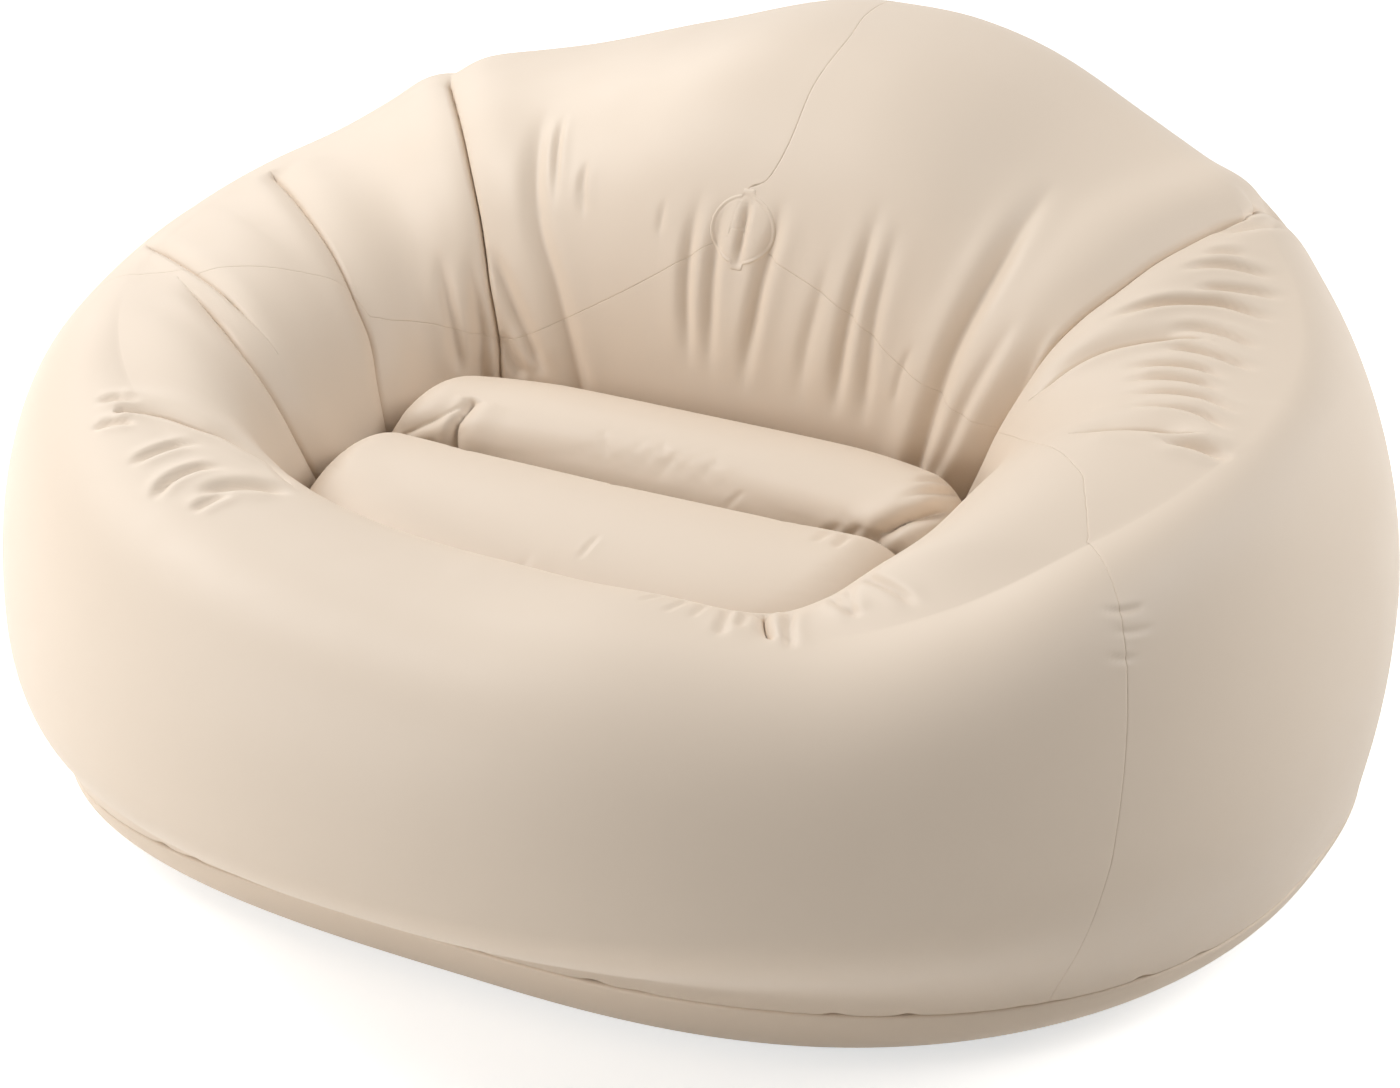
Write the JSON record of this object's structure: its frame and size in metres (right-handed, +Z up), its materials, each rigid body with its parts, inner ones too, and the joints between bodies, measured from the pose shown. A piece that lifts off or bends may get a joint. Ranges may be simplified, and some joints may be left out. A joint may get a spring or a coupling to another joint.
{
  "type": "inflatable chair",
  "caption": "Large round inflatable lounge chair of welded vinyl, with a raised back, wide arms, a two-tube seat in a deep well, inner webs and a valve low in the back",
  "frame": {"origin": "On the floor, under the middle of the chair's outline seen from above", "axes": "+X to the chair's right as seen from the front, the long side of its outline; +Y to the back; +Z up; the sitter faces -Y"},
  "size_m": [1.3686, 1.27, 0.765],
  "materials": {
    "skin_vinyl": "smooth satin beige vinyl sheet with fine tension wrinkles",
    "base_vinyl": "smooth satin beige vinyl sheet, a little heavier than the sides",
    "web_vinyl": "plain matte vinyl sheet with round air holes",
    "valve_plastic": "soft moulded vinyl, satin",
    "flap_rubber": "thin smooth elastomer"
  },
  "bodies": {
    "chair": {"base_panel": "base_vinyl", "front_panel": "skin_vinyl", "left_back_panel": "skin_vinyl", "right_back_panel": "skin_vinyl", "front_seat_tube": "skin_vinyl", "rear_seat_tube": "skin_vinyl", "front_web": "web_vinyl", "middle_web": "web_vinyl", "rear_web": "web_vinyl", "back_patch": "skin_vinyl", "valve_base": "valve_plastic", "plug_tether": "valve_plastic"},
    "plug": {"valve_plug": "valve_plastic"},
    "flap": {"check_flap": "flap_rubber"},
    "cap": {"valve_cap": "valve_plastic"}
  },
  "joints": [
    {"name": "plug_pull", "type": "slide", "parent": "chair", "child": "plug", "axis": [0.3195, 0.9476, 0], "range_m": [0, 0.012]},
    {"name": "cap_hinge", "type": "hinge", "parent": "plug", "child": "cap", "pos_m": [0.21376, 0.60938, 0.30431], "axis": [0, 0, 1], "range_deg": [0, 150]},
    {"name": "flap_hinge", "type": "hinge", "parent": "plug", "child": "flap", "pos_m": [0.22024, 0.58635, 0.30431], "axis": [0, 0, -1], "range_deg": [0, 60], "stiffness_Nm_per_rad": 0.0005}
  ]
}
